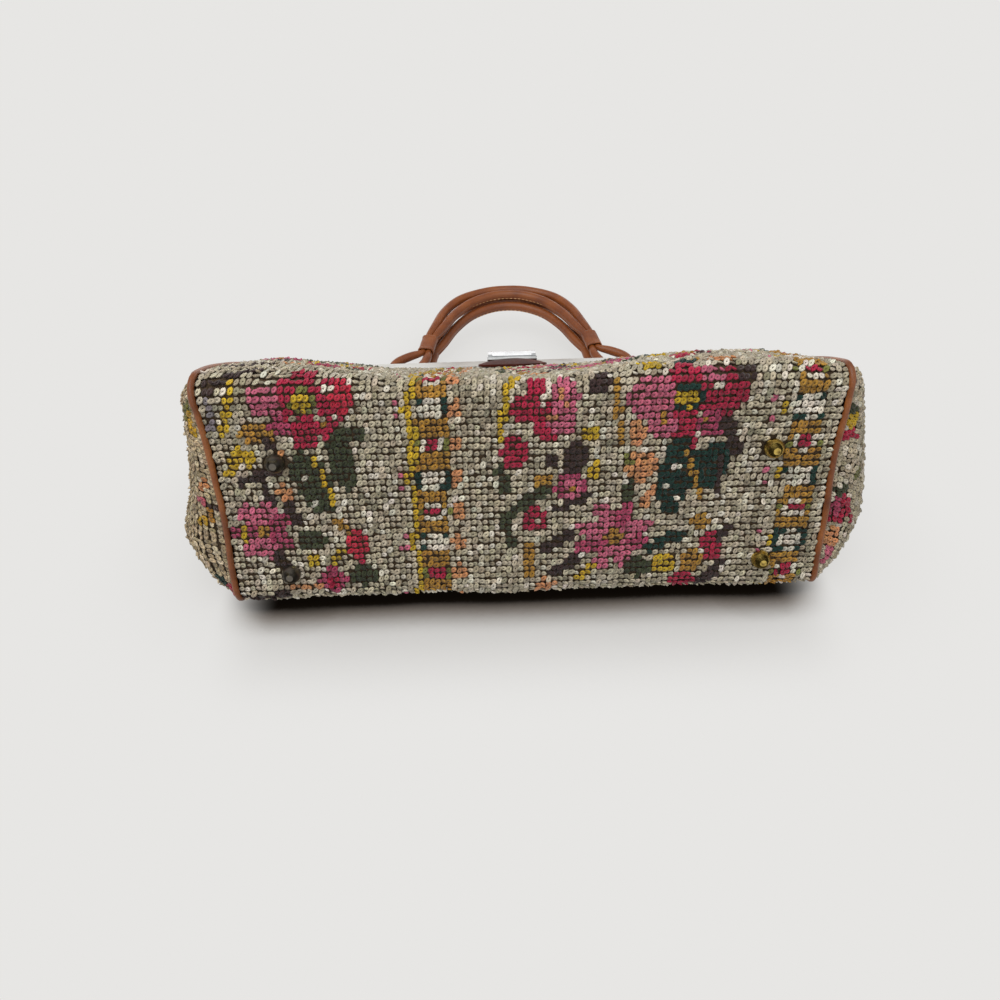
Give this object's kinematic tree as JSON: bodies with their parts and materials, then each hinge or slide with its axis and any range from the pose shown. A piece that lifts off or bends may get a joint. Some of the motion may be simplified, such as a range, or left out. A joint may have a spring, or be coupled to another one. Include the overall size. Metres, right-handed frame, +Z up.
{
  "type": "carpet bag",
  "caption": "Framed handbag of floral loop-pile carpet with leather piping, domed feet, a hinged metal frame, a flip clasp and rolled leather handles.",
  "frame": {"origin": "middle of the bag's box, on the ground under its feet", "axes": "+X along the bag to the right end, front faces -Y, +Z up out of the mouth"},
  "size_m": [0.3882, 0.1274, 0.3479],
  "materials": {
    "carpet": "loop pile",
    "lining_cloth": "plain weave",
    "piping_leather": "smooth",
    "handle_leather": "rolled and waxed",
    "pad_leather": "polished",
    "nickel": "nickel plated",
    "chrome": "polished",
    "brass": "tarnished",
    "board": "fibreboard"
  },
  "bodies": {
    "bag": {"carpet_panel": "carpet", "gusset_left": "carpet", "gusset_right": "carpet", "piping_left": "piping_leather", "piping_right": "piping_leather", "lining": "lining_cloth", "base_board": "board", "foot_front_left": "brass", "foot_front_right": "brass", "foot_back_left": "brass", "foot_back_right": "brass", "foot_washers": "brass", "frame_back": "nickel", "hinge_pin_left": "nickel", "hinge_pin_right": "nickel", "lug_back_left": "nickel", "lug_back_right": "nickel", "clasp_catch": "chrome"},
    "front_frame": {"frame_front": "nickel", "lug_front_left": "nickel", "lug_front_right": "nickel", "clasp_bracket": "chrome", "clasp_pin": "chrome", "clasp_pad": "pad_leather"},
    "clasp": {"clasp_lever": "chrome"},
    "handle_front": {"handle_front": "handle_leather", "keeper_front_left": "handle_leather", "keeper_front_right": "handle_leather"},
    "handle_back": {"handle_back": "handle_leather", "keeper_back_left": "handle_leather", "keeper_back_right": "handle_leather"}
  },
  "joints": [
    {"name": "frame_open", "type": "hinge", "parent": "bag", "child": "front_frame", "pos_m": [0, 0, 0.1773], "axis": [1, 0, 0], "range_deg": [0, 55], "deforming": ["carpet_panel", "gusset_left", "gusset_right", "piping_left", "piping_right", "lining"]},
    {"name": "clasp_flip", "type": "hinge", "parent": "front_frame", "child": "clasp", "pos_m": [0, -0.02005, 0.2116], "axis": [1, 0, 0], "range_deg": [0, 110]},
    {"name": "handle_front_swing", "type": "hinge", "parent": "front_frame", "child": "handle_front", "pos_m": [0, -0.00765, 0.23028], "axis": [1, 0, 0], "range_deg": [0, 70]},
    {"name": "handle_back_swing", "type": "hinge", "parent": "bag", "child": "handle_back", "pos_m": [0, 0.00765, 0.23028], "axis": [1, 0, 0], "range_deg": [-110, 0]}
  ]
}
